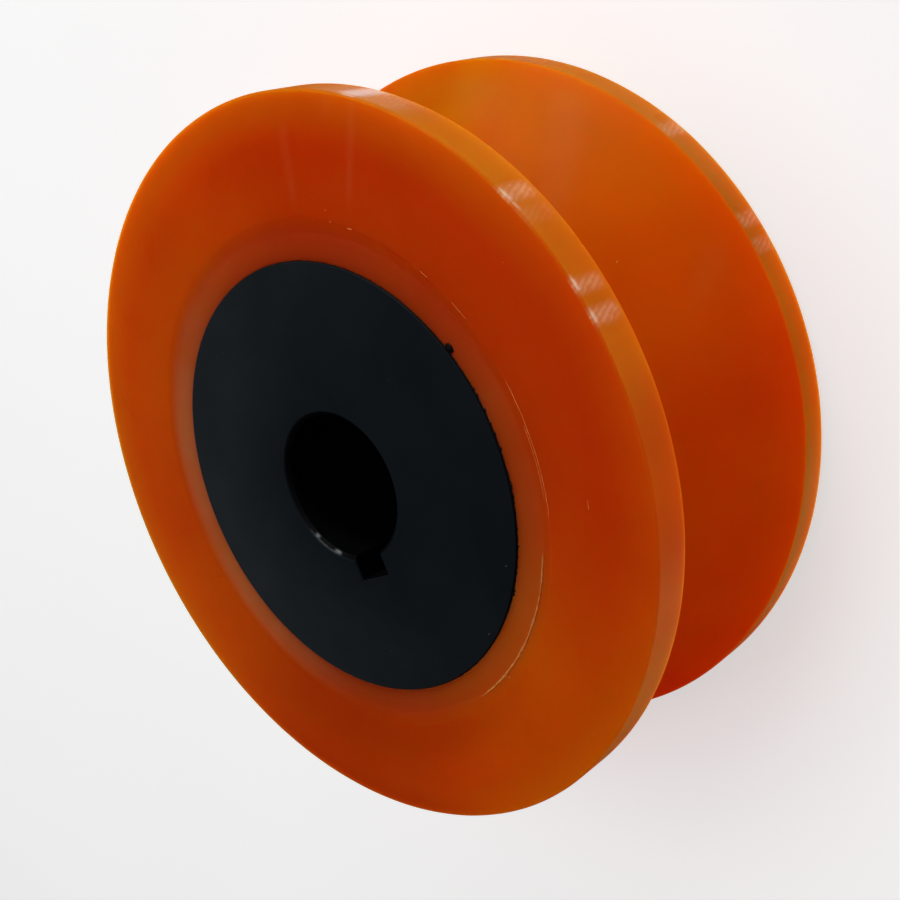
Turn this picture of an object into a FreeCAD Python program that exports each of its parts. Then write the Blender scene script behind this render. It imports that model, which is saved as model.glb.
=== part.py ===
import FreeCAD, Part
import math
import os
import Sketcher

# Polyurethane roller: a steel hub with a keyed bore, and a polyurethane tyre
# cast round it, with a V groove between two rims.
# Millimetres. Origin: on the bore axis, at the plane of the rear end face.
# +Z: along the bore axis, from the rear face to the front face.
# -Y: the side that the keyway is on.

os.makedirs("parts", exist_ok=True)
doc = FreeCAD.newDocument("polyurethane_roller")

# ---------------------------------------------------------------- sizes
SIZES = [
    ("outer_radius", 75.0, "radius of both rims"),
    ("roller_width", 60.0, "length along the bore axis"),
    ("hub_radius", 45.0, "outside of the steel hub, inside of the tyre"),
    ("bore_radius", 15.0, "shaft bore"),
    ("bore_chamfer", 1.0, "chamfer at both mouths of the bore"),
    ("key_width", 8.0, "width of the keyway"),
    ("key_reach", 19.7, "from the bore axis to the floor of the keyway"),
    ("key_break", 0.3, "broken edge of the keyway at both end faces"),
    ("front_land", 8.2, "width of the front rim"),
    ("rear_land", 7.2, "width of the rear rim"),
    ("wall_angle", 45.0, "groove wall to the bore axis, degrees"),
    ("root_radius", 4.0, "rounding of the groove's root"),
    ("rim_round", 0.5, "rounding of the rims' edges"),
    ("dish_lip_radius", 52.9, "outer lip of the shallow dish round the hub"),
    ("dish_floor_radius", 50.7, "outer edge of the dish's flat floor"),
    ("dish_depth", 0.4, "depth of the dish below the front face"),
]
sheet = doc.addObject("Spreadsheet::Sheet", "Sizes")
for row, (alias, value, words) in enumerate(SIZES, start=1):
    sheet.set("A%d" % row, alias)
    sheet.set("B%d" % row, str(value))
    sheet.set("C%d" % row, words)
    sheet.setAlias("B%d" % row, alias)
doc.recompute()


def origin_feature(body, role):
    for feature in body.Origin.OriginFeatures:
        if feature.Role == role:
            return feature
    raise RuntimeError("no origin feature " + role)


def new_body(name):
    body = doc.addObject("PartDesign::Body", name)
    body.Label = name
    body.Placement = FreeCAD.Placement()
    return body


def new_sketch(body, name, role, offset=None):
    sketch = body.newObject("Sketcher::SketchObject", name)
    sketch.AttachmentSupport = [(origin_feature(body, role), "")]
    sketch.MapMode = "FlatFace"
    if offset:
        sketch.setExpression(".AttachmentOffset.Base.z", offset)
    return sketch


def size(sketch, constraint, name, expression):
    index = sketch.addConstraint(constraint)
    sketch.renameConstraint(index, name)
    sketch.setExpression("Constraints." + name, expression)
    return index


def circle_sketch(body, name, alias, role="XY_Plane"):
    sketch = new_sketch(body, name, role)
    circle = sketch.addGeometry(
        Part.Circle(FreeCAD.Vector(0, 0, 0), FreeCAD.Vector(0, 0, 1), 10.0), False
    )
    sketch.addConstraint(Sketcher.Constraint("Coincident", circle, 3, -1, 1))
    size(sketch, Sketcher.Constraint("Radius", circle, 10.0), "radius", "Sizes." + alias)
    return sketch


def edges_where(shape, test):
    names = []
    for number, edge in enumerate(shape.Edges, start=1):
        if test(edge):
            names.append("Edge%d" % number)
    return names


def is_circle(edge, radius, height):
    curve = edge.Curve
    return (
        isinstance(curve, Part.Circle)
        and abs(curve.Radius - radius) < 1e-4
        and abs(edge.CenterOfMass.z - height) < 1e-4
    )


def value(alias):
    return float(sheet.get(alias))


def volume_fell(before, feature, what):
    after = feature.Shape.Volume
    if not after < before - 1e-3:
        raise RuntimeError(what + " cut nothing")
    return after


# ---------------------------------------------------------------- hub
hub = new_body("hub")

disc_sketch = circle_sketch(hub, "hub_outline", "hub_radius")
disc = hub.newObject("PartDesign::Pad", "hub_disc")
disc.Profile = disc_sketch
disc.setExpression("Length", "Sizes.roller_width")
doc.recompute()
volume = disc.Shape.Volume

bore_sketch = circle_sketch(hub, "bore_outline", "bore_radius")
bore = hub.newObject("PartDesign::Pocket", "bore")
bore.Profile = bore_sketch
bore.Type = "ThroughAll"
bore.Midplane = True
doc.recompute()
volume = volume_fell(volume, bore, "bore")

mouths = hub.newObject("PartDesign::Chamfer", "bore_chamfers")
mouths.Base = (
    bore,
    edges_where(
        bore.Shape,
        lambda e: is_circle(e, value("bore_radius"), 0.0)
        or is_circle(e, value("bore_radius"), value("roller_width")),
    ),
)
mouths.setExpression("Size", "Sizes.bore_chamfer")
doc.recompute()
volume = volume_fell(volume, mouths, "bore chamfers")

# The keyway is a straight slot along the whole bore, on the -Y side.
key_sketch = new_sketch(hub, "keyway_outline", "XY_Plane")
corners = [(-4.0, -5.0), (-4.0, -19.7), (4.0, -19.7), (4.0, -5.0)]
for index in range(4):
    x0, y0 = corners[index]
    x1, y1 = corners[(index + 1) % 4]
    key_sketch.addGeometry(
        Part.LineSegment(FreeCAD.Vector(x0, y0, 0), FreeCAD.Vector(x1, y1, 0)), False
    )
for index in range(4):
    key_sketch.addConstraint(
        Sketcher.Constraint("Coincident", index, 2, (index + 1) % 4, 1)
    )
key_sketch.addConstraint(Sketcher.Constraint("Vertical", 0))
key_sketch.addConstraint(Sketcher.Constraint("Vertical", 2))
key_sketch.addConstraint(Sketcher.Constraint("Horizontal", 3))
key_sketch.addConstraint(Sketcher.Constraint("Symmetric", 1, 1, 1, 2, -2))
size(
    key_sketch,
    Sketcher.Constraint("DistanceX", 1, 1, 1, 2, 8.0),
    "width",
    "Sizes.key_width",
)
size(
    key_sketch,
    Sketcher.Constraint("DistanceY", 1, 1, -1, 1, 19.7),
    "reach",
    "Sizes.key_reach",
)
size(
    key_sketch,
    Sketcher.Constraint("DistanceY", 3, 1, -1, 1, 5.0),
    "inner_end",
    "Sizes.bore_radius / 3",
)
keyway = hub.newObject("PartDesign::Pocket", "keyway")
keyway.Profile = key_sketch
keyway.Type = "ThroughAll"
keyway.Midplane = True
doc.recompute()
volume = volume_fell(volume, keyway, "keyway")


def key_mouth(edge):
    if not isinstance(edge.Curve, (Part.Line, Part.LineSegment)):
        return False
    heights = [v.Point.z for v in edge.Vertexes]
    at_face = all(abs(z) < 1e-4 for z in heights) or all(
        abs(z - value("roller_width")) < 1e-4 for z in heights
    )
    middle = edge.CenterOfMass
    return at_face and middle.y < -value("bore_radius") and abs(middle.x) < value("key_width")


key_edges = hub.newObject("PartDesign::Chamfer", "keyway_edges")
key_edges.Base = (keyway, edges_where(keyway.Shape, key_mouth))
key_edges.setExpression("Size", "Sizes.key_break")
doc.recompute()
volume = volume_fell(volume, key_edges, "keyway edges")

# ---------------------------------------------------------------- tyre
tyre = new_body("polyurethane_tyre")
section = new_sketch(tyre, "tyre_section", "XZ_Plane")

R_OUT, WIDTH, R_IN = value("outer_radius"), value("roller_width"), value("hub_radius")
REAR, FRONT = value("rear_land"), value("front_land")
half_mouth = (WIDTH - REAR - FRONT) / 2
root = R_OUT - half_mouth * math.tan(math.radians(value("wall_angle")))
outline = [
    (R_IN, 0.0),
    (R_OUT, 0.0),
    (R_OUT, REAR),
    (root, REAR + half_mouth),
    (R_OUT, WIDTH - FRONT),
    (R_OUT, WIDTH),
    (value("dish_lip_radius"), WIDTH),
    (value("dish_floor_radius"), WIDTH - value("dish_depth")),
    (R_IN, WIDTH - value("dish_depth")),
]
count = len(outline)
for index in range(count):
    x0, y0 = outline[index]
    x1, y1 = outline[(index + 1) % count]
    section.addGeometry(
        Part.LineSegment(FreeCAD.Vector(x0, y0, 0), FreeCAD.Vector(x1, y1, 0)), False
    )
for index in range(count):
    section.addConstraint(
        Sketcher.Constraint("Coincident", index, 2, (index + 1) % count, 1)
    )
# Line numbers: 0 rear face, 1 rear rim, 2 rear wall, 3 front wall, 4 front rim,
# 5 front face, 6 dish step, 7 dish floor, 8 bond to the hub.
for index in (0, 5, 7):
    section.addConstraint(Sketcher.Constraint("Horizontal", index))
for index in (1, 4, 8):
    section.addConstraint(Sketcher.Constraint("Vertical", index))
section.addConstraint(Sketcher.Constraint("PointOnObject", 0, 1, -1))
size(section, Sketcher.Constraint("DistanceX", -1, 1, 0, 1, R_IN), "inside", "Sizes.hub_radius")
size(section, Sketcher.Constraint("DistanceX", -1, 1, 0, 2, R_OUT), "outside", "Sizes.outer_radius")
size(section, Sketcher.Constraint("DistanceX", -1, 1, 4, 1, R_OUT), "outside_front", "Sizes.outer_radius")
size(section, Sketcher.Constraint("DistanceY", 1, 1, 1, 2, REAR), "rear_rim", "Sizes.rear_land")
size(section, Sketcher.Constraint("DistanceY", 4, 1, 4, 2, FRONT), "front_rim", "Sizes.front_land")
size(section, Sketcher.Constraint("DistanceY", -1, 1, 4, 2, WIDTH), "width", "Sizes.roller_width")
size(
    section,
    Sketcher.Constraint("DistanceX", -1, 1, 2, 2, root),
    "root_radius",
    "Sizes.outer_radius - (Sizes.roller_width - Sizes.rear_land - Sizes.front_land) / 2"
    " * tan(Sizes.wall_angle * 1deg)",
)
size(
    section,
    Sketcher.Constraint("DistanceY", -1, 1, 2, 2, REAR + half_mouth),
    "root_height",
    "Sizes.rear_land + (Sizes.roller_width - Sizes.rear_land - Sizes.front_land) / 2",
)
size(section, Sketcher.Constraint("DistanceX", -1, 1, 5, 2, outline[6][0]), "dish_lip", "Sizes.dish_lip_radius")
size(section, Sketcher.Constraint("DistanceX", -1, 1, 6, 2, outline[7][0]), "dish_floor", "Sizes.dish_floor_radius")
size(section, Sketcher.Constraint("DistanceY", 6, 2, 6, 1, value("dish_depth")), "dish_depth", "Sizes.dish_depth")

cast = tyre.newObject("PartDesign::Revolution", "cast_ring")
cast.Profile = section
cast.ReferenceAxis = (section, ["V_Axis"])
cast.Angle = 360.0
doc.recompute()
ring_volume = cast.Shape.Volume

root_round = tyre.newObject("PartDesign::Fillet", "groove_root")
root_round.Base = (
    cast,
    edges_where(cast.Shape, lambda e: is_circle(e, root, REAR + half_mouth)),
)
root_round.setExpression("Radius", "Sizes.root_radius")
doc.recompute()
if not root_round.Shape.Volume > ring_volume:
    raise RuntimeError("the groove's root isn't rounded")

rim_edges = tyre.newObject("PartDesign::Fillet", "rim_edges")
rim_edges.Base = (
    root_round,
    edges_where(
        root_round.Shape,
        lambda e: any(
            is_circle(e, R_OUT, z) for z in (0.0, REAR, WIDTH - FRONT, WIDTH)
        ),
    ),
)
rim_edges.setExpression("Radius", "Sizes.rim_round")
doc.recompute()
volume_fell(root_round.Shape.Volume, rim_edges, "rim edges")

# ---------------------------------------------------------------- checks, files
doc.recompute()
for item in doc.Objects:
    if any(state in ("Invalid", "Error") for state in item.State):
        raise RuntimeError("%s: %s" % (item.Name, item.State))
for sketch in (disc_sketch, bore_sketch, key_sketch, section):
    if sketch.solve() != 0:
        raise RuntimeError("unsolved sketch " + sketch.Name)

pieces = [hub, tyre]
for piece in pieces:
    shape = piece.Shape
    if shape.isNull() or not shape.isValid() or len(shape.Solids) != 1:
        raise RuntimeError("bad shape " + piece.Label)
for piece in pieces:
    piece.Shape.exportStep(os.path.join("parts", piece.Label + ".step"))
    box = piece.Shape.BoundBox
    print(
        "%s: volume %.0f mm3, x %.2f..%.2f y %.2f..%.2f z %.2f..%.2f"
        % (piece.Label, piece.Shape.Volume, box.XMin, box.XMax, box.YMin, box.YMax, box.ZMin, box.ZMax)
    )
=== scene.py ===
import math

import bpy
import numpy as np
from mathutils import Matrix, Vector, noise


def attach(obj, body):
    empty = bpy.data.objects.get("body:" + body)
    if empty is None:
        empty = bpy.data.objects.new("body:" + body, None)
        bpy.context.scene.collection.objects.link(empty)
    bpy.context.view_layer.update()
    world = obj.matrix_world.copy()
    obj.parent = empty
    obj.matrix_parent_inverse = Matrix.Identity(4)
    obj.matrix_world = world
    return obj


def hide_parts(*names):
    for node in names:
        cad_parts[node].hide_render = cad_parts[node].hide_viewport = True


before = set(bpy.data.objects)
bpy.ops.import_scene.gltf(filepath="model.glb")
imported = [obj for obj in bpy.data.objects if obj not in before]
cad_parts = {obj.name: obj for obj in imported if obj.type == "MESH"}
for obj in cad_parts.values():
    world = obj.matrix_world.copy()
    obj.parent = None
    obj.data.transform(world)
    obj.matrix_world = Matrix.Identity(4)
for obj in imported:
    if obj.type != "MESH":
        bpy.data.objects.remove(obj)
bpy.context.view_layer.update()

MM = 0.001
FLOOR_GLOW = 0.60
TAU = 2 * math.pi
R_OUT, WIDTH = 75.0, 60.0


# ------------------------------------------------------------------ helpers
def smooth(t):
    t = np.clip(t, 0.0, 1.0)
    return t * t * (3 - 2 * t)


def wave_noise(angle, seed, low=3, high=40, power=0.8):
    """Smooth periodic noise round a circle, about -1 to 1."""
    rng = np.random.RandomState(seed)
    total = np.zeros_like(angle, float)
    weight = 0.0
    for k in range(low, high):
        a = 1.0 / k ** power
        total += a * np.sin(k * angle + rng.uniform(0, TAU)) * rng.uniform(0.4, 1.0)
        weight += a * a * 0.25
    return total / math.sqrt(weight) / 2.0


def window(angle_deg, start, end, edge):
    """1 between two angles in degrees, falling to 0 over edge at both ends."""
    middle = (start + end) / 2
    half = abs(end - start) / 2
    off = np.abs((angle_deg - middle + 180) % 360 - 180)
    return smooth((half - off) / edge + 0.5)


def grid_mesh(name, points, closed_u=True, closed_v=True, caps=False):
    """points: array (u, v, 3) in millimetres. Quads between neighbours."""
    nu, nv = points.shape[:2]
    verts = (points.reshape(-1, 3) * MM).astype(float)
    iu = np.arange(nu if closed_u else nu - 1)
    iv = np.arange(nv if closed_v else nv - 1)
    a, b = np.meshgrid(iu, iv, indexing="ij")
    a2, b2 = (a + 1) % nu, (b + 1) % nv
    faces = np.stack([a * nv + b, a2 * nv + b, a2 * nv + b2, a * nv + b2], -1).reshape(-1, 4)
    faces = [tuple(f) for f in faces.tolist()]
    if caps and not closed_v:
        faces.append(tuple(int(u * nv) for u in reversed(range(nu))))
        faces.append(tuple(int(u * nv + nv - 1) for u in range(nu)))
    mesh = bpy.data.meshes.new(name)
    mesh.from_pydata(verts.tolist(), [], faces)
    mesh.validate()
    mesh.update()
    mesh.polygons.foreach_set("use_smooth", [True] * len(mesh.polygons))
    obj = bpy.data.objects.new(name, mesh)
    bpy.context.scene.collection.objects.link(obj)
    return obj


def outward(obj):
    """Turns the faces of a closed mesh outwards."""
    mesh = obj.data
    co = np.zeros(len(mesh.vertices) * 3)
    mesh.vertices.foreach_get("co", co)
    co = co.reshape(-1, 3)
    mesh.calc_loop_triangles()
    tri = np.zeros(len(mesh.loop_triangles) * 3, int)
    mesh.loop_triangles.foreach_get("vertices", tri)
    tri = tri.reshape(-1, 3)
    a, b, c = co[tri[:, 0]], co[tri[:, 1]], co[tri[:, 2]]
    if np.einsum("ij,ij->i", a, np.cross(b, c)).sum() < 0:
        mesh.flip_normals()
    mesh.update()
    return obj


def paint(obj, name, values):
    """values: array (..., 4), one colour for each vertex of a grid mesh."""
    layer = obj.data.color_attributes.new(name, "FLOAT_COLOR", "POINT")
    layer.data.foreach_set("color", np.ascontiguousarray(values, dtype=np.float32).reshape(-1))


def bell(value, centre, half, edge):
    """1 within half of the centre, falling to 0 over edge beyond it."""
    return smooth(1.0 - (np.abs(value - centre) - half) / edge)


def blend(a, b, f):
    return a * (1 - f[..., None]) + np.asarray(b, float) * f[..., None]


def arc(cx, cy, r, a0, a1, n):
    t = np.radians(np.linspace(a0, a1, n))
    return [(cx + r * math.cos(x), cy + r * math.sin(x)) for x in t]


def line(x0, y0, x1, y1, n, ends=False):
    t = np.linspace(0, 1, n + 2)
    t = t if ends else t[1:-1]
    return [(x0 + (x1 - x0) * x, y0 + (y1 - y0) * x) for x in t]


# ------------------------------------------------------------------ node helpers
def new_material(name):
    mat = bpy.data.materials.new(name)
    mat.use_nodes = True
    tree = mat.node_tree
    tree.nodes.clear()
    out = tree.nodes.new("ShaderNodeOutputMaterial")
    bsdf = tree.nodes.new("ShaderNodeBsdfPrincipled")
    tree.links.new(bsdf.outputs[0], out.inputs[0])
    return mat, tree, bsdf


class Tree:
    def __init__(self, tree):
        self.t = tree

    def node(self, kind, **values):
        n = self.t.nodes.new(kind)
        for key, val in values.items():
            setattr(n, key, val)
        return n

    def link(self, a, b):
        self.t.links.new(a, b)

    def math(self, op, a, b=None, c=None, clamp=False):
        n = self.node("ShaderNodeMath", operation=op, use_clamp=clamp)
        for i, v in enumerate((a, b, c)):
            if v is None:
                continue
            if isinstance(v, (int, float)):
                n.inputs[i].default_value = v
            else:
                self.link(v, n.inputs[i])
        return n.outputs[0]

    def ramp(self, value, low, high, out_low=0.0, out_high=1.0, kind="SMOOTHSTEP"):
        n = self.node("ShaderNodeMapRange", interpolation_type=kind)
        self.link(value, n.inputs[0])
        for i, v in zip((1, 2, 3, 4), (low, high, out_low, out_high)):
            n.inputs[i].default_value = v
        return n.outputs[0]

    def mix(self, factor, a, b, kind="MIX"):
        n = self.node("ShaderNodeMix", data_type="RGBA", blend_type=kind)
        for socket, v in ((n.inputs[0], factor), (n.inputs[6], a), (n.inputs[7], b)):
            if isinstance(v, (int, float)):
                socket.default_value = v
            elif isinstance(v, (tuple, list)):
                socket.default_value = tuple(v) + (1.0,) * (4 - len(v))
            else:
                self.link(v, socket)
        return n.outputs[2]

    def noise(self, vector, scale, detail=3.0, rough=0.5, distortion=0.0):
        n = self.node("ShaderNodeTexNoise")
        n.inputs["Scale"].default_value = scale
        n.inputs["Detail"].default_value = detail
        n.inputs["Roughness"].default_value = rough
        n.inputs["Distortion"].default_value = distortion
        self.link(vector, n.inputs["Vector"])
        return n.outputs[0]

    def combine(self, x, y, z):
        n = self.node("ShaderNodeCombineXYZ")
        for i, v in enumerate((x, y, z)):
            if isinstance(v, (int, float)):
                n.inputs[i].default_value = v
            else:
                self.link(v, n.inputs[i])
        return n.outputs[0]

    def bump(self, height, distance, strength=1.0, normal=None):
        n = self.node("ShaderNodeBump")
        n.inputs["Strength"].default_value = strength
        n.inputs["Distance"].default_value = distance
        self.link(height, n.inputs["Height"])
        if normal is not None:
            self.link(normal, n.inputs["Normal"])
        return n.outputs[0]

    def window(self, value, centre, half, edge):
        """1 within half of the centre, falling to 0 over edge beyond it."""
        off = self.math("ABSOLUTE", self.math("SUBTRACT", value, centre))
        return self.ramp(off, half + edge, half)

    def polar(self):
        """Object position, radius from the bore axis (mm), angle and height (mm)."""
        co = self.node("ShaderNodeTexCoord").outputs["Object"]
        sep = self.node("ShaderNodeSeparateXYZ")
        self.link(co, sep.inputs[0])
        x, y, z = sep.outputs
        r = self.math("SQRT", self.math("ADD", self.math("MULTIPLY", x, x), self.math("MULTIPLY", y, y)))
        r = self.math("MULTIPLY", r, 1000.0)
        ang = self.math("ARCTAN2", y, x)
        z = self.math("MULTIPLY", z, 1000.0)
        return co, r, ang, z


# ------------------------------------------------------------------ polyurethane
def make_polyurethane():
    mat, tree, bsdf = new_material("cast_polyurethane")
    t = Tree(tree)
    co, r, ang, z = t.polar()
    mul = lambda a, b: t.math("MULTIPLY", a, b)
    add = lambda a, b: t.math("ADD", a, b)
    # Painted on the mesh by build_tyre: tint = colour of each area, with painted light
    # and shade, and the dish's haze; the second attribute = painted highlights on the
    # lands' tool marks, painted reflection streaks on the face and wall, pale painted
    # glints and highlights, and the depth.
    tint = t.node("ShaderNodeAttribute", attribute_name="tint")
    highlights_and_depth = t.node("ShaderNodeAttribute", attribute_name="highlights_and_depth")
    parts = t.node("ShaderNodeSeparateColor")
    t.link(highlights_and_depth.outputs["Color"], parts.inputs[0])
    chatter_highlight_w, reflection_streaks_w, pale_highlight_w = parts.outputs
    haze_and_sheen = tint.outputs["Alpha"]

    # Cloudiness of the casting.
    cloud = t.noise(co, 60.0, 3.0, 0.55)
    shade = t.mix(t.ramp(cloud, 0.28, 0.72), (0.97, 0.94, 0.90), (1.02, 1.05, 1.08))
    base = t.mix(1.0, tint.outputs["Color"], shade, "MULTIPLY")

    # Painted reflections: faint pale streaks of light on the turned face and the groove wall.
    fine = t.combine(mul(r, 9.0), mul(ang, 0.7), mul(z, 9.0))
    turned_fine = t.noise(fine, 1.0, 2.0, 0.6)
    base = t.mix(mul(reflection_streaks_w, t.ramp(turned_fine, 0.25, 0.7, 0.45, 1.0)), base, (0.80, 0.37, 0.15))

    # Painted highlights: pale strokes of light on the short chatter marks of the turning
    # tool on both lands; the same pattern also raises the bump.
    rough_noise = t.noise(co, 330.0, 2.0, 0.5)
    phase = add(mul(ang, R_OUT * TAU / 1.15), add(mul(z, 0.47 * TAU / 1.15), mul(rough_noise, 8.0)))
    chatter_highlight = t.ramp(t.math("SINE", phase), -0.9, 0.9, 0.55, 1.0)
    chatter_highlight = mul(chatter_highlight, t.ramp(rough_noise, 0.32, 0.62, 0.50, 1.0))
    chatter_highlight = mul(chatter_highlight, chatter_highlight_w)
    base = t.mix(chatter_highlight, base, (0.88, 0.53, 0.36))
    # Painted glints and pale highlights on the lands.
    base = t.mix(pale_highlight_w, base, (0.93, 0.75, 0.68))
    t.link(base, bsdf.inputs["Base Color"])

    # Turning marks and a fine grain.
    thread = t.math("SINE", add(mul(z, TAU / 1.25), ang))
    height = add(mul(turned_fine, 0.6), mul(rough_noise, 0.5))
    height = add(height, mul(thread, 0.10))
    height = add(height, mul(chatter_highlight, 0.8))
    t.link(t.bump(height, 0.000018, 1.0), bsdf.inputs["Normal"])

    rough = t.ramp(cloud, 0.3, 0.7, 0.27, 0.36)
    t.link(add(rough, mul(haze_and_sheen, 0.14)), bsdf.inputs["Roughness"])
    bsdf.inputs["IOR"].default_value = 1.49
    bsdf.inputs["Specular IOR Level"].default_value = 0.025
    bsdf.inputs["Specular Tint"].default_value = (1.0, 0.6, 0.3, 1.0)
    bsdf.subsurface_method = "RANDOM_WALK"
    bsdf.inputs["Subsurface Weight"].default_value = 1.0
    bsdf.inputs["Subsurface Radius"].default_value = (1.0, 0.25, 0.07)
    # Light goes less deep in the thin skirt bonded to the hub.
    t.link(mul(highlights_and_depth.outputs["Alpha"], 0.023), bsdf.inputs["Subsurface Scale"])
    return mat


def make_flash():
    mat, tree, bsdf = new_material("polyurethane_flash")
    t = Tree(tree)
    co, r, ang, z = t.polar()
    n = t.noise(co, 500.0, 3.0, 0.6)
    # the flash is painted paler than the casting: painted light, standing in for the light that shines through its
    # thin edges
    t.link(t.mix(t.ramp(n, 0.3, 0.7), (0.80, 0.25, 0.045), (0.93, 0.40, 0.11)), bsdf.inputs["Base Color"])
    t.link(t.bump(n, 0.00003, 0.8), bsdf.inputs["Normal"])
    bsdf.inputs["Roughness"].default_value = 0.35
    bsdf.inputs["Specular IOR Level"].default_value = 0.2
    return mat


def make_dust():
    mat, tree, bsdf = new_material("pale_dust")
    t = Tree(tree)
    co, r, ang, z = t.polar()
    n = t.noise(co, 900.0, 3.0, 0.6)
    t.link(t.mix(t.ramp(n, 0.3, 0.7), (0.07, 0.07, 0.065), (0.16, 0.16, 0.15)), bsdf.inputs["Base Color"])
    t.link(t.bump(n, 0.00003, 0.8), bsdf.inputs["Normal"])
    bsdf.inputs["Roughness"].default_value = 0.7
    return mat


# ------------------------------------------------------------------ hub coating
def make_hub_steel():
    mat, tree, bsdf = new_material("coated_steel")
    t = Tree(tree)
    co, r, ang, z = t.polar()
    mul = lambda a, b: t.math("MULTIPLY", a, b)
    tint = t.node("ShaderNodeAttribute", attribute_name="tint")
    cloud = t.noise(co, 40.0, 4.0, 0.6)
    shade = t.mix(t.ramp(cloud, 0.3, 0.7), (0.86, 0.88, 0.90), (1.16, 1.13, 1.10))
    grain = t.noise(co, 900.0, 2.0, 0.5)
    # Painted glints: bright spots of light on the bore's chamfer.
    painted_glints = mul(tint.outputs["Alpha"], t.ramp(grain, 0.30, 0.60, 0.30, 1.0))
    base = t.mix(1.0, tint.outputs["Color"], shade, "MULTIPLY")
    base = t.mix(painted_glints, base, (0.30, 0.33, 0.35))
    t.link(base, bsdf.inputs["Base Color"])
    swirl = t.combine(mul(r, 2.6), mul(ang, 1.1), mul(z, 2.6))
    turned = t.noise(swirl, 1.0, 3.0, 0.6)
    height = t.math("ADD", mul(turned, 0.6), mul(grain, 0.3))
    t.link(t.bump(height, 0.00003, 1.0), bsdf.inputs["Normal"])
    t.link(t.ramp(cloud, 0.3, 0.7, 0.42, 0.55), bsdf.inputs["Roughness"])
    bsdf.inputs["Specular IOR Level"].default_value = 0.07
    return mat


def make_bond():
    mat, tree, bsdf = new_material("bonding_agent")
    t = Tree(tree)
    co, r, ang, z = t.polar()
    n = t.noise(co, 700.0, 3.0, 0.6)
    t.link(t.mix(t.ramp(n, 0.3, 0.7), (0.0016, 0.0015, 0.0018), (0.0040, 0.0030, 0.0030)), bsdf.inputs["Base Color"])
    t.link(t.bump(n, 0.00005, 0.8), bsdf.inputs["Normal"])
    bsdf.inputs["Roughness"].default_value = 0.5
    bsdf.inputs["Specular IOR Level"].default_value = 0.06
    return mat


def make_floor():
    mat, tree, bsdf = new_material("pale_floor")
    t = Tree(tree)
    co = t.node("ShaderNodeTexCoord").outputs["Object"]
    n = t.noise(co, 6.0, 2.0, 0.5)
    t.link(t.mix(t.ramp(n, 0.3, 0.7), (0.55, 0.55, 0.55), (0.57, 0.57, 0.57)), bsdf.inputs["Base Color"])
    bsdf.inputs["Roughness"].default_value = 0.9
    bsdf.inputs["Specular IOR Level"].default_value = 0.1
    bsdf.inputs["Emission Color"].default_value = (1.0, 1.0, 1.0, 1.0)
    bsdf.inputs["Emission Strength"].default_value = FLOOR_GLOW
    return mat


MAT_PU = make_polyurethane()
MAT_HUB = make_hub_steel()
MAT_FLASH = make_flash()
MAT_DUST = make_dust()
MAT_BOND = make_bond()
MAT_FLOOR = make_floor()

# ------------------------------------------------------------------ tyre
REAR, FRONT = 7.2, 8.2
RIM = 0.5
ROOT_R = 4.0
HALF = (WIDTH - REAR - FRONT) / 2
APEX_R, APEX_Z = R_OUT - HALF, REAR + HALF


def tyre_profile():
    p = []

    def add(points, tag):
        for x, y in points:
            p.append((x, y, tag))

    add([(45.0, 0.25), (45.05, 0.08), (45.25, 0.0), (45.35, 0.0)], "inner")
    add(line(45.35, 0.0, 74.4, 0.0, 3), "rear")
    add([(74.40, 0.0)], "rear")
    add(arc(R_OUT - RIM, RIM, RIM, -90, 0, 7), "edge")
    add(line(R_OUT, RIM + 0.10, R_OUT, REAR - 0.26, 6, True), "land")
    # land to wall: 45 degree corner, radius 0.5
    d = 0.5 * math.tan(math.radians(22.5))
    add(arc(R_OUT - 0.5, REAR - d, 0.5, 0, 45, 4), "corner")
    w0 = (R_OUT - d * math.sqrt(0.5), REAR + d * math.sqrt(0.5))
    # root: radius 4, centre at the mirror height
    cr = APEX_R + ROOT_R * math.sqrt(2)
    w1 = (cr - ROOT_R * math.sqrt(0.5), APEX_Z - ROOT_R * math.sqrt(0.5))
    add([(w0[0] - 0.08, w0[1] + 0.08)], "wall")
    add(line(w0[0] - 0.08, w0[1] + 0.08, w1[0], w1[1], 12), "wall")
    add(arc(cr, APEX_Z, ROOT_R, 225, 135, 9), "root")
    w2 = (w1[0], APEX_Z + ROOT_R * math.sqrt(0.5))
    w3 = (w0[0], WIDTH - FRONT - d * math.sqrt(0.5))
    add(line(w2[0], w2[1], w3[0] - 0.08, w3[1] - 0.08, 8), "wall")
    add([(w3[0] - 0.08, w3[1] - 0.08)], "wall")
    add(arc(R_OUT - 0.5, WIDTH - FRONT + d, 0.5, -45, 0, 4), "corner")
    add(line(R_OUT, WIDTH - FRONT + 0.26, R_OUT, WIDTH - RIM - 0.10, 9, True), "land")
    add(arc(R_OUT - RIM, WIDTH - RIM, RIM, 0, 90, 9), "edge")
    add([(74.40, WIDTH)], "face")
    add(line(74.40, WIDTH, 54.6, WIDTH, 11), "face")
    # the dish: its height is set for each angle in build_tyre
    add([(r, WIDTH) for r in np.linspace(54.6, 49.4, 30)], "dish")
    add([(r, WIDTH) for r in np.linspace(49.0, 45.6, 4)], "dish")
    add([(45.2, 59.6), (45.0, 59.55)], "inner")
    return p


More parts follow.
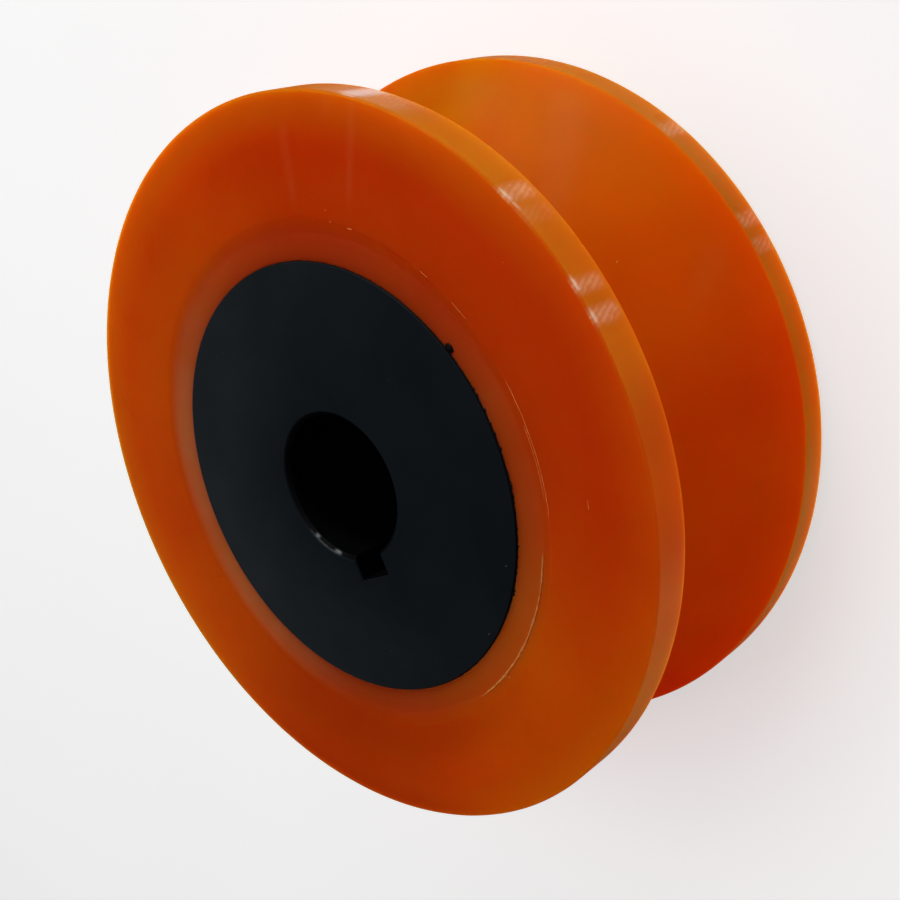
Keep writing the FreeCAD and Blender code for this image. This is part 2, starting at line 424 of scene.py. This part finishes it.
def build_tyre():
    prof = tyre_profile()
    n = 720
    th = np.arange(n) * TAU / n
    deg = np.degrees(th)
    r0 = np.array([q[0] for q in prof])
    z0 = np.array([q[1] for q in prof])
    tags = np.array([q[2] for q in prof])
    r = np.tile(r0, (n, 1))
    z = np.tile(z0, (n, 1))

    # the rim edges were broken by hand and waver a little
    for low, high, seed in ((0.0, 1.0, 41), (59.0, 60.0, 42)):
        part = (tags == "edge") & (z0 >= low) & (z0 <= high)
        cut = 0.035 + 0.022 * wave_noise(th, seed, 4, 60, 0.6)
        turn = (z0[part] - (RIM if low == 0.0 else WIDTH - RIM)) / RIM
        lean = np.clip(np.abs(turn), 0, 1)
        bow = np.sin(np.pi * lean)
        r[:, part] -= np.clip(cut, 0.0, 0.09)[:, None] * bow[None, :]
        sign = 1 if low == 0.0 else -1
        z[:, part] += sign * np.clip(cut, 0.0, 0.09)[:, None] * bow[None, :]

    # the faced front isn't perfectly flat
    face = tags == "face"
    dip = 0.02 * (1 + wave_noise(th, 11, 2, 7))[:, None]
    r_part = ((r0[face] - 54.6) / 20.0)[None, :]
    z[:, face] -= dip * np.sin(np.pi * np.clip(r_part, 0, 1)) ** 2

    # groove walls: very slight unevenness of the casting
    wall = tags == "wall"
    uneven = 0.03 * wave_noise(th, 15, 2, 14)[:, None]
    along = np.clip((R_OUT - r0[wall]) / 17.0, 0, 1)[None, :]
    r[:, wall] -= np.abs(uneven) * np.sin(np.pi * along)

    # dish: a crisp step at the right, a long soft one round the left
    crisp = window(deg, 66, -42, 30)
    dish = tags == "dish"
    wander = 0.13 * wave_noise(th, 21, 3, 30)
    lip = (52.95 + wander * (0.6 + 0.4 * crisp))[:, None] + 0.55 * (1 - crisp)[:, None]
    foot = 50.75 * crisp[:, None] + 49.65 * (1 - crisp)[:, None]
    rr = r[:, dish]
    slope = np.clip((lip - rr) / (lip - foot), 0, 1)
    soft = smooth(slope)
    hard = np.clip(0.20 * smooth(slope / 0.10) + 0.80 * slope ** 0.9, 0, 1)
    fall = soft * (1 - crisp[:, None]) + hard * crisp[:, None]
    z[:, dish] = WIDTH - 0.40 * fall - 0.004 * wave_noise(th, 23, 2, 20)[:, None] * fall

    r = np.minimum(r, R_OUT - 0.010)
    points = np.stack([r * np.cos(th)[:, None], r * np.sin(th)[:, None], np.clip(z, 0, WIDTH - 0.012)], -1)
    obj = outward(grid_mesh("tyre_casting", points))

    # ---- colour of each area
    deg = (np.degrees(th) + 180) % 360 - 180
    D = np.repeat(deg[:, None], len(r0), 1)
    T = np.repeat(th[:, None], len(r0), 1)
    R = np.tile(r0, (n, 1))
    Z = np.tile(z0, (n, 1))

    tone = 0.44 + 0.24 * np.cos(2 * T + math.radians(88)) + 0.20 * wave_noise(th, 71, 2, 9, 0.7)[:, None]
    tone = tone + 0.10 * np.sin((R - 54) * 0.28 + 2.2 * wave_noise(th, 72, 1, 5, 0.6)[:, None])
    tone = np.clip(tone, 0, 1)
    face_dark, face_light = np.array((0.58, 0.046, 0.0008)), np.array((0.70, 0.084, 0.0018))
    colour = face_dark + (face_light - face_dark) * tone[..., None]
    # warmer and redder sectors of the turned face, at given angles
    colour[..., 1] *= 1 - 0.23 * bell(D, 18, 30, 40)
    colour[..., 1] *= 1 + 0.30 * bell(D, -60, 8, 30) + 0.24 * bell(D, -155, 10, 24) + 0.09 * bell(D, 135, 20, 30)
    colour[..., 0] *= 1 + 0.07 * bell(D, -68, 16, 30) + 0.06 * bell(D, 80, 12, 20)
    # painted glow: the light that comes through the rim's thin edge is painted into the colour, less of it round -118
    # and -8 degrees
    glow = smooth((R - 64.5) / 11.0) * (1 - 0.80 * bell(D, -118, 16, 30)) * (1 - 0.62 * bell(D, -8, 18, 30))
    colour = blend(colour, (0.60, 0.126, 0.0020), glow)
    # painted shade: the rim's outer part is darker round 112 degrees and lighter round -66
    rim = smooth((R - 68.0) / 7.0)
    colour[..., 0] *= 1 - rim * (0.22 * bell(D, 112, 34, 36) - 0.08 * bell(D, -66, 12, 26))
    # painted shadow: a darker sector round -117 degrees, wider further in
    low = smooth((63.0 - R) / 8.0)
    colour = colour * (1 - bell(D, -117 + 8 * low, 12 + 8 * low, 30)[..., None] * (np.array((0.14, 0.16, 0.0)) + rim[..., None] * np.array((0.24, 0.20, 0.0))))

    # painted light and shade on the groove wall: yellower towards the top, where light falls, redder below and deeper
    # in the groove
    wall_g = 0.100 * (1 + 0.42 * np.cos(T - math.radians(62))) * (1 + 0.05 * wave_noise(th, 73, 3, 26, 0.5)[:, None])
    wall_r = 0.84 * (1 + 0.02 * wave_noise(th, 74, 2, 12, 0.5)[:, None]) - 0.22 * np.cos(T - math.radians(64))
    deep = smooth((70.5 - R) / 8.0)
    wall_r = wall_r * (1 + 0.11 * deep) * (1 - 0.14 * bell(D, 84, 10, 18))
    wall_g = wall_g * (1 + 0.42 * bell(D, -45, 12, 24)) * (1 - 0.20 * bell(D, -3, 6, 14) * (1 - deep)) * (1 + 0.07 * deep * bell(D, 40, 20, 30)) * (1 - 0.22 * bell(D, 86, 12, 8))
    wall_colour = np.stack([wall_r, wall_g, np.full_like(wall_g, 0.0012)], -1)
    inner = np.isin(tags, ["wall", "root", "corner"])
    colour[:, inner] = wall_colour[:, inner]

    shade = (1 + 0.05 * wave_noise(th, 75, 3, 40, 0.5))[:, None]
    one = (D[:, :1] * 1.0)
    # the lands' colour is set for each angle: painted light and shade as light falls round the rims, with paler
    # painted highlights near -40 degrees and on the rear land near 65 degrees
    front_land = np.stack([
        0.615 * (1 - 0.12 * bell(one, 54, 18, 18) - 0.07 * bell(one, 57, 6, 7) + 0.06 * bell(one, -28, 14, 14)),
        0.132 * (1 + 0.14 * bell(one, 24, 14, 16) - 0.20 * bell(one, -12, 5, 12) + 0.10 * bell(one, -38, 8, 12)
                 + 0.28 * bell(one, -47, 6, 10)),
        0.0062 + 0.018 * bell(one, -40, 12, 14),
    ], -1) * shade[..., None]
    rear_land = np.stack([
        0.545 * (1 - 0.14 * bell(one, 26, 8, 20) - 0.28 * bell(one, 90, 10, 24) + 0.03 * bell(one, 66, 4, 12)),
        0.142 * (1 + 0.14 * bell(one, 50, 12, 24) - 0.30 * bell(one, 90, 10, 20) + 0.50 * bell(one, -34, 8, 16)
                 + 0.12 * bell(one, 65, 3, 10)),
        0.0065 + 0.010 * bell(one, 46, 14, 24) + 0.024 * bell(one, -40, 12, 14) + 0.030 * bell(one, 65, 3, 10),
    ], -1) * shade[..., None]
    for low, high, tint in ((50.0, 60.1, front_land), (-0.1, 9.0, rear_land)):
        part = (tags == "land") & (z0 > low) & (z0 < high)
        colour[:, part] = tint
    # the broken edges pass from the land's colour to the face's, with painted shade along the middle of each rounded
    # edge
    for sign, mid in ((1, WIDTH - RIM), (-1, RIM)):
        part = (tags == "edge") & (sign * (z0 - mid) > -1e-6)
        turn = np.abs(z0[part] - mid) / RIM
        land_tint = front_land if sign == 1 else rear_land
        colour[:, part] = blend(np.broadcast_to(land_tint, colour[:, part].shape), colour[:, part], np.tile(smooth(turn), (n, 1)))
        colour[:, part] *= 1 - (1 - np.abs(2 * turn - 1))[None, :, None] * np.array((0.08, 0.18, 0.2))

    # a pale sheen painted into the dish's colour, strongest at the left where the dish catches light: painted light;
    # the same haze makes the dish rougher
    light_at_left = smooth((np.cos(T - math.radians(174)) - 0.25) / 0.75)
    start = 52.6 - 0.7 * crisp[:, None]
    haze_and_sheen = smooth((start - R) / (2.6 - 1.2 * crisp[:, None])) * np.isin(tags, ["dish", "inner"])[None, :] * (Z > 50)
    haze_and_sheen = haze_and_sheen * np.clip(0.85 + 0.2 * wave_noise(th, 76, 3, 50, 0.5), 0.5, 1.1)[:, None]
    warm = 0.02 + 0.32 * bell(D, -10, 16, 24) - 0.13 * bell(D, 100, 25, 34)
    colour = colour * (1 + haze_and_sheen[..., None] * np.stack([0.02 * np.ones_like(D), warm, 4.6 * np.ones_like(D)], -1))
    colour = blend(colour, (0.64, 0.172, 0.060), np.clip(0.50 * haze_and_sheen * light_at_left, 0, 1))
    # painted shade: the dish darkens towards the hub
    near_hub = np.clip((R - 45.0) / 8.5, 0, 1) ** 0.8
    hub_contact_shade = smooth((R - 44.6) / 3.0)
    ring = np.isin(tags, ["dish", "inner"])[None, :] * (Z > 50)
    colour = colour * np.where(ring[..., None], np.stack([0.60 + 0.40 * near_hub, 0.68 + 0.32 * hub_contact_shade, 0.9 + 0.1 * hub_contact_shade], -1), 1.0)
    paint(obj, "tint", np.concatenate([colour, np.clip(haze_and_sheen, 0, 1)[..., None]], -1))

    # ---- painted highlights, painted reflections and the skirt's depth
    near = (tags == "land") | (tags == "edge")
    # painted highlights: pale strokes of light on the lands' chatter marks at these angles
    chatter_highlight = np.zeros_like(R)
    for centre, half, edge, z_a, z_b, weight in (
        (29.1, 0.25, 1.7, 52.7, 60.2, 0.48),
        (25.4, 0.50, 1.7, 52.7, 60.2, 0.09),
        (14.6, 0.10, 1.5, 52.9, 60.2, 0.39),
        (10.4, 0.15, 1.5, 52.9, 60.2, 0.50),
        (52.5, 1.6, 2.8, 52.2, 59.0, 0.17),
        (59.5, 1.5, 3.0, 52.0, 59.0, 0.10),
        (32.5, 0.7, 1.2, 0.4, 7.0, 0.34),
        (15.1, 0.5, 1.1, 0.4, 7.0, 0.28),
        (10.9, 0.5, 1.1, 0.4, 7.0, 0.28),
    ):
        m = bell(D, centre, half, edge) * smooth((Z - z_a) / 1.6 + 0.5) * smooth((z_b - Z) / 1.2 + 0.5)
        chatter_highlight = np.maximum(chatter_highlight, weight * m)
    chatter_highlight *= near[None, :]

    # painted glints: thin bright lines of light along the lands' front edges
    pale_highlight = np.zeros_like(R)
    for centre, half, edge, z_c, z_half, weight in (
        (15.1, 0.25, 1.0, 59.42, 0.10, 0.62),
        (10.6, 0.30, 1.0, 59.42, 0.10, 0.48),
        (29.2, 0.30, 1.0, 59.42, 0.10, 0.42),
        (27.2, 0.15, 0.9, 59.42, 0.10, 0.30),
        (56.9, 0.50, 1.3, 59.42, 0.10, 0.40),
    ):
        pale_highlight = np.maximum(pale_highlight, weight * bell(D, centre, half, edge) * bell(Z, z_c, z_half, 0.30))
    # the broad soft light on top of the front land
    uneven = 1 + 0.25 * wave_noise(th, 77, 20, 160, 0.2)[:, None]
    pale_highlight = np.maximum(pale_highlight, 0.055 * bell(D, 56.5, 1.5, 12.0) * bell(Z, 55.4, 3.2, 1.4) * uneven)
    pale_highlight = np.maximum(pale_highlight, 0.58 * bell(D, 57.0 + 0.10 * (Z - 55), 0.5, 2.6) * bell(Z, 55.2, 2.9, 1.2))
    pale_highlight = np.clip(pale_highlight, 0, 1) * near[None, :]

    # painted reflections: faint radial streaks of light on the turned face and slanting ones on the groove wall
    reflection_streaks = np.zeros_like(R)
    for centre, half, edge, r_a, r_b, weight in (
        (70.0, 0.25, 1.2, 54.5, 69.0, 0.050),
        (55.7, 0.15, 1.0, 57.0, 75.0, 0.058),
        (60.5, 0.20, 0.9, 70.0, 75.0, 0.045),
    ):
        m = bell(D, centre, half, edge) * smooth((R - r_a) / 3 + 0.3) * smooth((r_b - R) / 3 + 0.5)
        reflection_streaks += weight * m * (tags == "face")[None, :]
    for centre, half, edge, z_a, z_b, weight in (
        (44.0, 0.8, 5.0, 8.0, 27.0, 0.07),
        (10.0, 0.6, 3.5, 9.0, 19.0, 0.05),
        (62.0, 1.5, 7.0, 9.0, 20.0, 0.05),
    ):
        m = bell(D + (Z - 15) * 0.75, centre, half, edge) * smooth((Z - z_a) / 3) * smooth((z_b - Z) / 4)
        reflection_streaks += weight * m * ((tags == "wall") & (z0 < 33))[None, :]

    skirt = 0.22 + 0.78 * smooth((R - 46.0) / 9.0)
    skirt[:, z0 < 50] = 1.0
    paint(obj, "highlights_and_depth", np.stack([chatter_highlight, np.clip(reflection_streaks, 0, 1), pale_highlight, skirt], -1))
    return obj


tyre = build_tyre()
tyre.data.materials.append(MAT_PU)
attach(tyre, "root")
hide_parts("polyurethane_tyre")


# ------------------------------------------------------------------ hub
def key_outline(r, half, reach, n_arc, n_side, n_floor):
    """Bore circle with the keyway, counter-clockwise from the keyway's right wall."""
    a = math.asin(half / r)
    y_side = -r * math.cos(a)
    pts = []
    for t in np.linspace(-math.pi / 2 + a, TAU - math.pi / 2 - a, n_arc):
        pts.append((r * math.cos(t), r * math.sin(t)))
    for s in np.linspace(0, 1, n_side + 2)[1:]:
        pts.append((-half, y_side + (-reach - y_side) * s))
    for s in np.linspace(0, 1, n_floor + 2)[1:]:
        pts.append((-half + 2 * half * s, -reach))
    for s in np.linspace(0, 1, n_side + 2)[1:-1]:
        pts.append((half, -reach + (y_side + reach) * s))
    return np.array(pts)


def build_hub():
    n_arc, n_side, n_floor = 241, 4, 6
    outer_n = len(key_outline(15, 4, 19.7, n_arc, n_side, n_floor))
    # levels of the inner wall, from the front face down to the rear face
    depth = [0.0, 0.15, 0.3, 0.5, 0.7, 0.85, 1.0, 3.0]
    levels = [(WIDTH - d, d) for d in depth] + [(z, 9.0) for z in np.linspace(50, 10, 9)] + [(d, d) for d in reversed(depth)]

    def inner_ring(z, d):
        r = 15.0 + max(0.0, 1.0 - d)
        half = 4.0 + max(0.0, 0.3 - d)
        reach = 19.7 + max(0.0, 0.3 - d)
        ring = key_outline(r, half, reach, n_arc, n_side, n_floor)
        return np.c_[ring, np.full(len(ring), z)]

    rings = [inner_ring(z, d) for z, d in levels]
    # the faces: rings between the inner outline and the hub's edge
    inner_front = rings[0]
    ang = np.unwrap(np.arctan2(inner_front[:, 1], inner_front[:, 0]))
    # even angles on the outer circle, started where the inner outline starts
    outer_ang = np.linspace(ang[0], ang[0] + TAU, outer_n, endpoint=False)
    own = np.array([math.atan2(p[1], p[0]) for p in inner_front])

    def face_ring(f, z):
        """f: 0 at the bore, 1 at the hub's edge."""
        circle = np.c_[45.0 * np.cos(outer_ang), 45.0 * np.sin(outer_ang)]
        flat = inner_front[:, :2] * (1 - f) + circle * f
        return np.c_[flat, np.full(outer_n, z)]

    edge = [(45.0 - 0.30, 0.0), (45.0 - 0.17, 0.02), (45.0 - 0.07, 0.08), (45.0 - 0.01, 0.2), (44.985, 0.4), (44.98, 1.0)]

    def edge_ring(r, z):
        return np.c_[r * np.cos(outer_ang), r * np.sin(outer_ang), np.full(outer_n, z)]

    front = [face_ring(f, WIDTH) for f in (0.02, 0.10, 0.25, 0.45, 0.65, 0.82, 0.94)]
    side = [edge_ring(r, WIDTH - d) for r, d in edge]
    side += [edge_ring(44.98, z) for z in np.linspace(55, 5, 6)]
    side += [edge_ring(r, d) for r, d in reversed(edge)]
    rear = [face_ring(f, 0.0) for f in (0.94, 0.82, 0.65, 0.45, 0.25, 0.10, 0.02)]
    allrings = [rings[0]] + front + side + rear + rings[::-1][:-1]
    points = np.stack(allrings, 1)  # (u, v, 3)
    points[..., 2] = np.minimum(points[..., 2], WIDTH - 0.02)
    obj = outward(grid_mesh("hub_core", points))
    obj.data.set_sharp_from_angle(angle=math.radians(14))

    x, y, z = points[..., 0], points[..., 1], points[..., 2]
    r, deg = np.hypot(x, y), np.degrees(np.arctan2(y, x))
    # painted light: the coating is lighter towards the left and the hub's edge, where it catches light
    light_at_left = 0.5 + 0.5 * np.cos(np.radians(deg - 172))
    tone = np.clip(0.12 + 0.88 * light_at_left * smooth((r - 8) / 34), 0, 1)
    colour = blend(np.broadcast_to(np.array((0.0030, 0.0052, 0.0082)), r.shape + (3,)), (0.0162, 0.0208, 0.0250), tone)
    # painted shade: the bore and its chamfer darken inwards
    inside = smooth((WIDTH - 0.05 - z) / 0.42)
    colour = blend(colour, (0.0010, 0.0012, 0.0017), inside)
    rear = smooth((0.2 - z) / 0.2)
    colour = blend(colour, (0.0055, 0.0080, 0.0105), rear)
    # painted glints: two bright spots of light on the bore's chamfer, joined by a thin painted highlight
    painted_glints = np.maximum(0.66 * bell(deg, -124.5, 0.9, 3.6), 0.66 * bell(deg, -147.5, 0.4, 2.8)) * bell(z, 59.45, 0.08, 0.32)
    thread = 0.22 * bell(deg, -138, 13, 6) * bell(z, 59.70, 0.02, 0.16)
    painted_glints = np.maximum(painted_glints, thread) * (r < 16.3)
    paint(obj, "tint", np.concatenate([colour, painted_glints[..., None]], -1))
    return obj


hub = build_hub()
hub.data.materials.append(MAT_HUB)
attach(hub, "root")
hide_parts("hub")


# ------------------------------------------------------------------ bonding agent round the hub
def build_bond_line():
    n = 2400
    th = np.arange(n) * TAU / n
    deg = (np.degrees(th) + 180) % 360 - 180
    ragged = bell(deg, -11, 26, 14)
    rng = np.random.RandomState(31)
    teeth = np.zeros(n)
    for _ in range(260):
        c = rng.uniform(-180, 180)
        w = rng.uniform(0.12, 0.60)
        h = rng.uniform(0.10, 0.50) ** 1.3
        off = np.abs((deg - c + 180) % 360 - 180)
        teeth = np.maximum(teeth, h * smooth(1 - off / w))
    for _ in range(34):
        c = rng.uniform(-46, 18)
        w = rng.uniform(0.20, 0.85)
        h = rng.uniform(0.15, 0.95) ** 1.4
        off = np.abs(deg - c)
        teeth = np.maximum(teeth, h * smooth(1 - off / w))
    wide = 0.08 + 0.03 * wave_noise(th, 32, 4, 60, 0.4) + ragged * 0.05 + teeth * (0.08 + 0.48 * ragged)
    wide = np.clip(wide, 0.04, 0.52)
    high = 0.08 + 0.20 * np.clip(wide, 0, 0.5)
    sec = [(-0.06, -0.25), (-0.05, 0.9), (0.10, 1.0), (0.45, 0.72), (0.8, 0.35), (1.0, 0.0), (0.9, -0.25)]
    pts = np.zeros((n, len(sec), 3))
    for j, (fw, fh) in enumerate(sec):
        rr = 45.0 + (fw if fw < 0 else fw * wide)
        zz = 59.6 + (fh * high if fh > 0 else np.full(n, fh * 0.4))
        pts[:, j, 0] = rr * np.cos(th)
        pts[:, j, 1] = rr * np.sin(th)
        pts[:, j, 2] = np.minimum(zz, WIDTH - 0.02)
    return outward(grid_mesh("bond_line", pts))


bond = build_bond_line()
bond.data.materials.append(MAT_BOND)
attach(bond, "root")


def blob(name, centre, size, spin, seed, mat, rough=0.25):
    """A small lump: a rounded, uneven closed surface. centre and size in mm."""
    nu, nv = 28, 18
    pts = np.zeros((nu, nv, 3))
    for i in range(nu):
        for j in range(nv):
            a = TAU * i / nu
            b = math.pi * (j + 0.5) / nv - math.pi / 2
            d = Vector((math.cos(a) * math.cos(b), math.sin(a) * math.cos(b), math.sin(b)))
            k = 1 + rough * noise.noise(d * 1.7 + Vector((seed, 0.3 * seed, 0))) * 1.6
            pts[i, j] = (d.x * size[0] * k, d.y * size[1] * k, d.z * size[2] * k)
    c, s = math.cos(spin), math.sin(spin)
    x, y = pts[..., 0].copy(), pts[..., 1].copy()
    pts[..., 0] = x * c - y * s + centre[0]
    pts[..., 1] = x * s + y * c + centre[1]
    pts[..., 2] = np.minimum(pts[..., 2] + centre[2], WIDTH)
    obj = outward(grid_mesh(name, pts, True, False, True))
    obj.data.materials.append(mat)
    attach(obj, "root")
    return obj


def at(r, deg, z):
    t = math.radians(deg)
    return (r * math.cos(t), r * math.sin(t), z)


blob("bond_nub", at(45.75, 22.5, 59.66), (0.72, 0.92, 0.24), math.radians(22.5), 3.1, MAT_BOND)


# ------------------------------------------------------------------ moulding flash on the dish
def flash(name, r, a0, a1, half_w, high, z, seed, gaps=0.0):
    n = max(24, int(abs(a1 - a0) * 6))
    a = np.radians(np.linspace(a0, a1, n))
    u = np.linspace(0, 1, n)
    taper = smooth(u / 0.06) * smooth((1 - u) / 0.06)
    rng = np.random.RandomState(seed)
    jitter = np.convolve(rng.normal(0, 1, n + 8), np.ones(5) / 5, "same")[4:-4]
    w = half_w * np.clip(1 + 0.45 * jitter, 0.35, 1.8) * (0.25 + 0.75 * taper)
    h = high * np.clip(1 + 0.55 * np.roll(jitter, 7), 0.3, 2.0) * (0.15 + 0.85 * taper)
    rc = r + 0.05 * np.convolve(rng.normal(0, 1, n + 8), np.ones(9) / 9, "same")[4:-4] * 2
    sec = [(-1.0, -0.8), (-0.9, 0.0), (-0.45, 0.75), (0.0, 1.0), (0.45, 0.75), (0.9, 0.0), (1.0, -0.8)]
    pts = np.zeros((len(sec), n, 3))
    for j, (fw, fh) in enumerate(sec):
        rr = rc + fw * w
        zz = z + fh * h
        pts[j, :, 0] = rr * np.cos(a)
        pts[j, :, 1] = rr * np.sin(a)
        pts[j, :, 2] = np.minimum(zz, WIDTH)
    obj = outward(grid_mesh(name, pts, True, False, True))
    obj.data.materials.append(MAT_FLASH)
    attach(obj, "root")
    return obj


flash("flash_lip_a", 52.92, 10.0, -17.8, 0.07, 0.05, 59.965, 1)
flash("flash_lip_b", 52.35, 1.0, -14.0, 0.035, 0.04, 59.86, 3)
flash("flash_lip_c", 53.0, 36.5, 34.4, 0.06, 0.04, 59.972, 4)
flash("flash_lip_d", 52.95, 27.6, 23.2, 0.07, 0.05, 59.968, 5)
flash("flash_lip_e", 52.8, 55.8, 54.6, 0.07, 0.04, 59.972, 6)
flash("flash_floor_a", 50.80, -25.2, -71.0, 0.17, 0.14, 59.71, 2)
flash("flash_floor_b", 50.74, -41.0, -62.5, 0.15, 0.14, 59.74, 8)
flash("scratch", 61.7, -13.5, -15.1, 0.06, 0.02, 59.975, 11)
blob("burr_a", at(50.90, -60.3, 59.74), (0.30, 0.17, 0.12), math.radians(-20), 5.3, MAT_FLASH, 0.4)
blob("burr_b", at(51.75, -59.6, 59.85), (0.26, 0.10, 0.08), math.radians(-70), 7.9, MAT_FLASH, 0.4)
blob("burr_c", at(51.00, -50.7, 59.74), (0.17, 0.14, 0.10), math.radians(10), 9.1, MAT_FLASH, 0.4)
for i, (r_c, a_c, z_c, size) in enumerate((
    (54.9, 61.6, 59.975, 0.16), (53.0, 60.4, 59.96, 0.15), (66.4, 24.0, 59.972, 0.09), (59.2, 20.7, 23.05, 0.20),
)):
    blob("pinhead_%d" % i, at(r_c, a_c, z_c), (size, size * 0.8, 0.025 if z_c > 50 else size * 0.8), 0.3 * i, 2.0 + i, MAT_FLASH, 0.35)
for i, (r_c, a_c, size) in enumerate(((42.9, -32.1, 0.13), (43.5, -54.2, 0.15), (30.2, 33.0, 0.06), (38.4, 118.0, 0.07), (36.1, -97.0, 0.06))):
    blob("dust_%d" % i, at(r_c, a_c, 59.98), (size, size * 0.75, 0.013), 0.5 * i, 4.0 + i, MAT_DUST, 0.3)

# ------------------------------------------------------------------ stage
bpy.ops.mesh.primitive_plane_add(size=30.0, location=(0, 0, -0.00004))
floor = bpy.context.object
floor.name = "floor"
floor.data.materials.append(MAT_FLOOR)
floor.visible_glossy = False

# A pale backdrop behind the floor, seen by the camera only, so it lights nothing.
bpy.ops.mesh.primitive_uv_sphere_add(segments=64, ring_count=32, radius=5.0, location=(0, 0, 0))
backdrop = bpy.context.object
backdrop.name = "backdrop"
backdrop.data.polygons.foreach_set("use_smooth", [True] * len(backdrop.data.polygons))
back_mat = bpy.data.materials.new("pale_backdrop")
back_mat.use_nodes = True
back_tree = back_mat.node_tree
back_tree.nodes.clear()
back_out = back_tree.nodes.new("ShaderNodeOutputMaterial")
back_glow = back_tree.nodes.new("ShaderNodeEmission")
back_glow.inputs["Color"].default_value = (1.0, 1.0, 1.0, 1.0)
back_glow.inputs["Strength"].default_value = FLOOR_GLOW
back_tree.links.new(back_glow.outputs[0], back_out.inputs[0])
backdrop.data.materials.append(back_mat)
backdrop.visible_diffuse = False
backdrop.visible_glossy = False
backdrop.visible_transmission = False
backdrop.visible_volume_scatter = False
backdrop.visible_shadow = False

world = bpy.data.worlds.new("studio")
bpy.context.scene.world = world
world.use_nodes = True
bg = world.node_tree.nodes["Background"]
bg.inputs[0].default_value = (0.93, 0.96, 1.0, 1.0)
bg.inputs[1].default_value = 0.03


def area(name, azimuth, elevation, distance, width, height, power, colour=(1, 1, 1), target=(0, 0, 0.03)):
    light = bpy.data.lights.new(name, "AREA")
    light.shape = "RECTANGLE"
    light.size = width
    light.size_y = height
    light.energy = power
    light.color = colour
    obj = bpy.data.objects.new(name, light)
    bpy.context.scene.collection.objects.link(obj)
    az, el = math.radians(azimuth), math.radians(elevation)
    target = Vector(target)
    pos = target + Vector((math.cos(el) * math.cos(az), math.cos(el) * math.sin(az), math.sin(el))) * distance
    obj.location = pos
    obj.rotation_euler = (target - pos).to_track_quat("-Z", "Y").to_euler()
    obj.visible_camera = False
    return obj


area("fill_right", 0, 16, 0.9, 0.5, 0.3, 0.2)
area("top_soft", 105, 68, 1.2, 1.0, 1.0, 7.4)
area("key_soft", 74, 14, 0.9, 0.6, 0.16, 3.4)
area("back_low", 186, 20, 0.9, 0.7, 0.25, 0.12)

# ------------------------------------------------------------------ camera
cam_data = bpy.data.cameras.new("camera")
cam = bpy.data.objects.new("camera", cam_data)
bpy.context.scene.collection.objects.link(cam)
right = Vector((0.672449, -0.363283, -0.644854)).normalized()
back = Vector((0.729608, 0.178879, 0.660057)).normalized()
up = back.cross(right).normalized()
right = up.cross(back).normalized()
m = Matrix.Identity(4)
for i in range(3):
    m[i][0], m[i][1], m[i][2] = right[i], up[i], back[i]
m[0][3], m[1][3], m[2][3] = 0.1958403, 0.0162399, 0.2202815
cam.matrix_world = m
cam_data.sensor_fit = "HORIZONTAL"
cam_data.sensor_width = 36.0
cam_data.lens = 49.9167
cam_data.shift_x = 0.0
cam_data.shift_y = 150.0 / 900.0
cam_data.clip_start = 0.01
cam_data.clip_end = 20.0
bpy.context.scene.camera = cam

view = bpy.context.scene.view_settings
view.view_transform = "Standard"
view.look = "None"
view.exposure = 0.0
view.gamma = 1.0
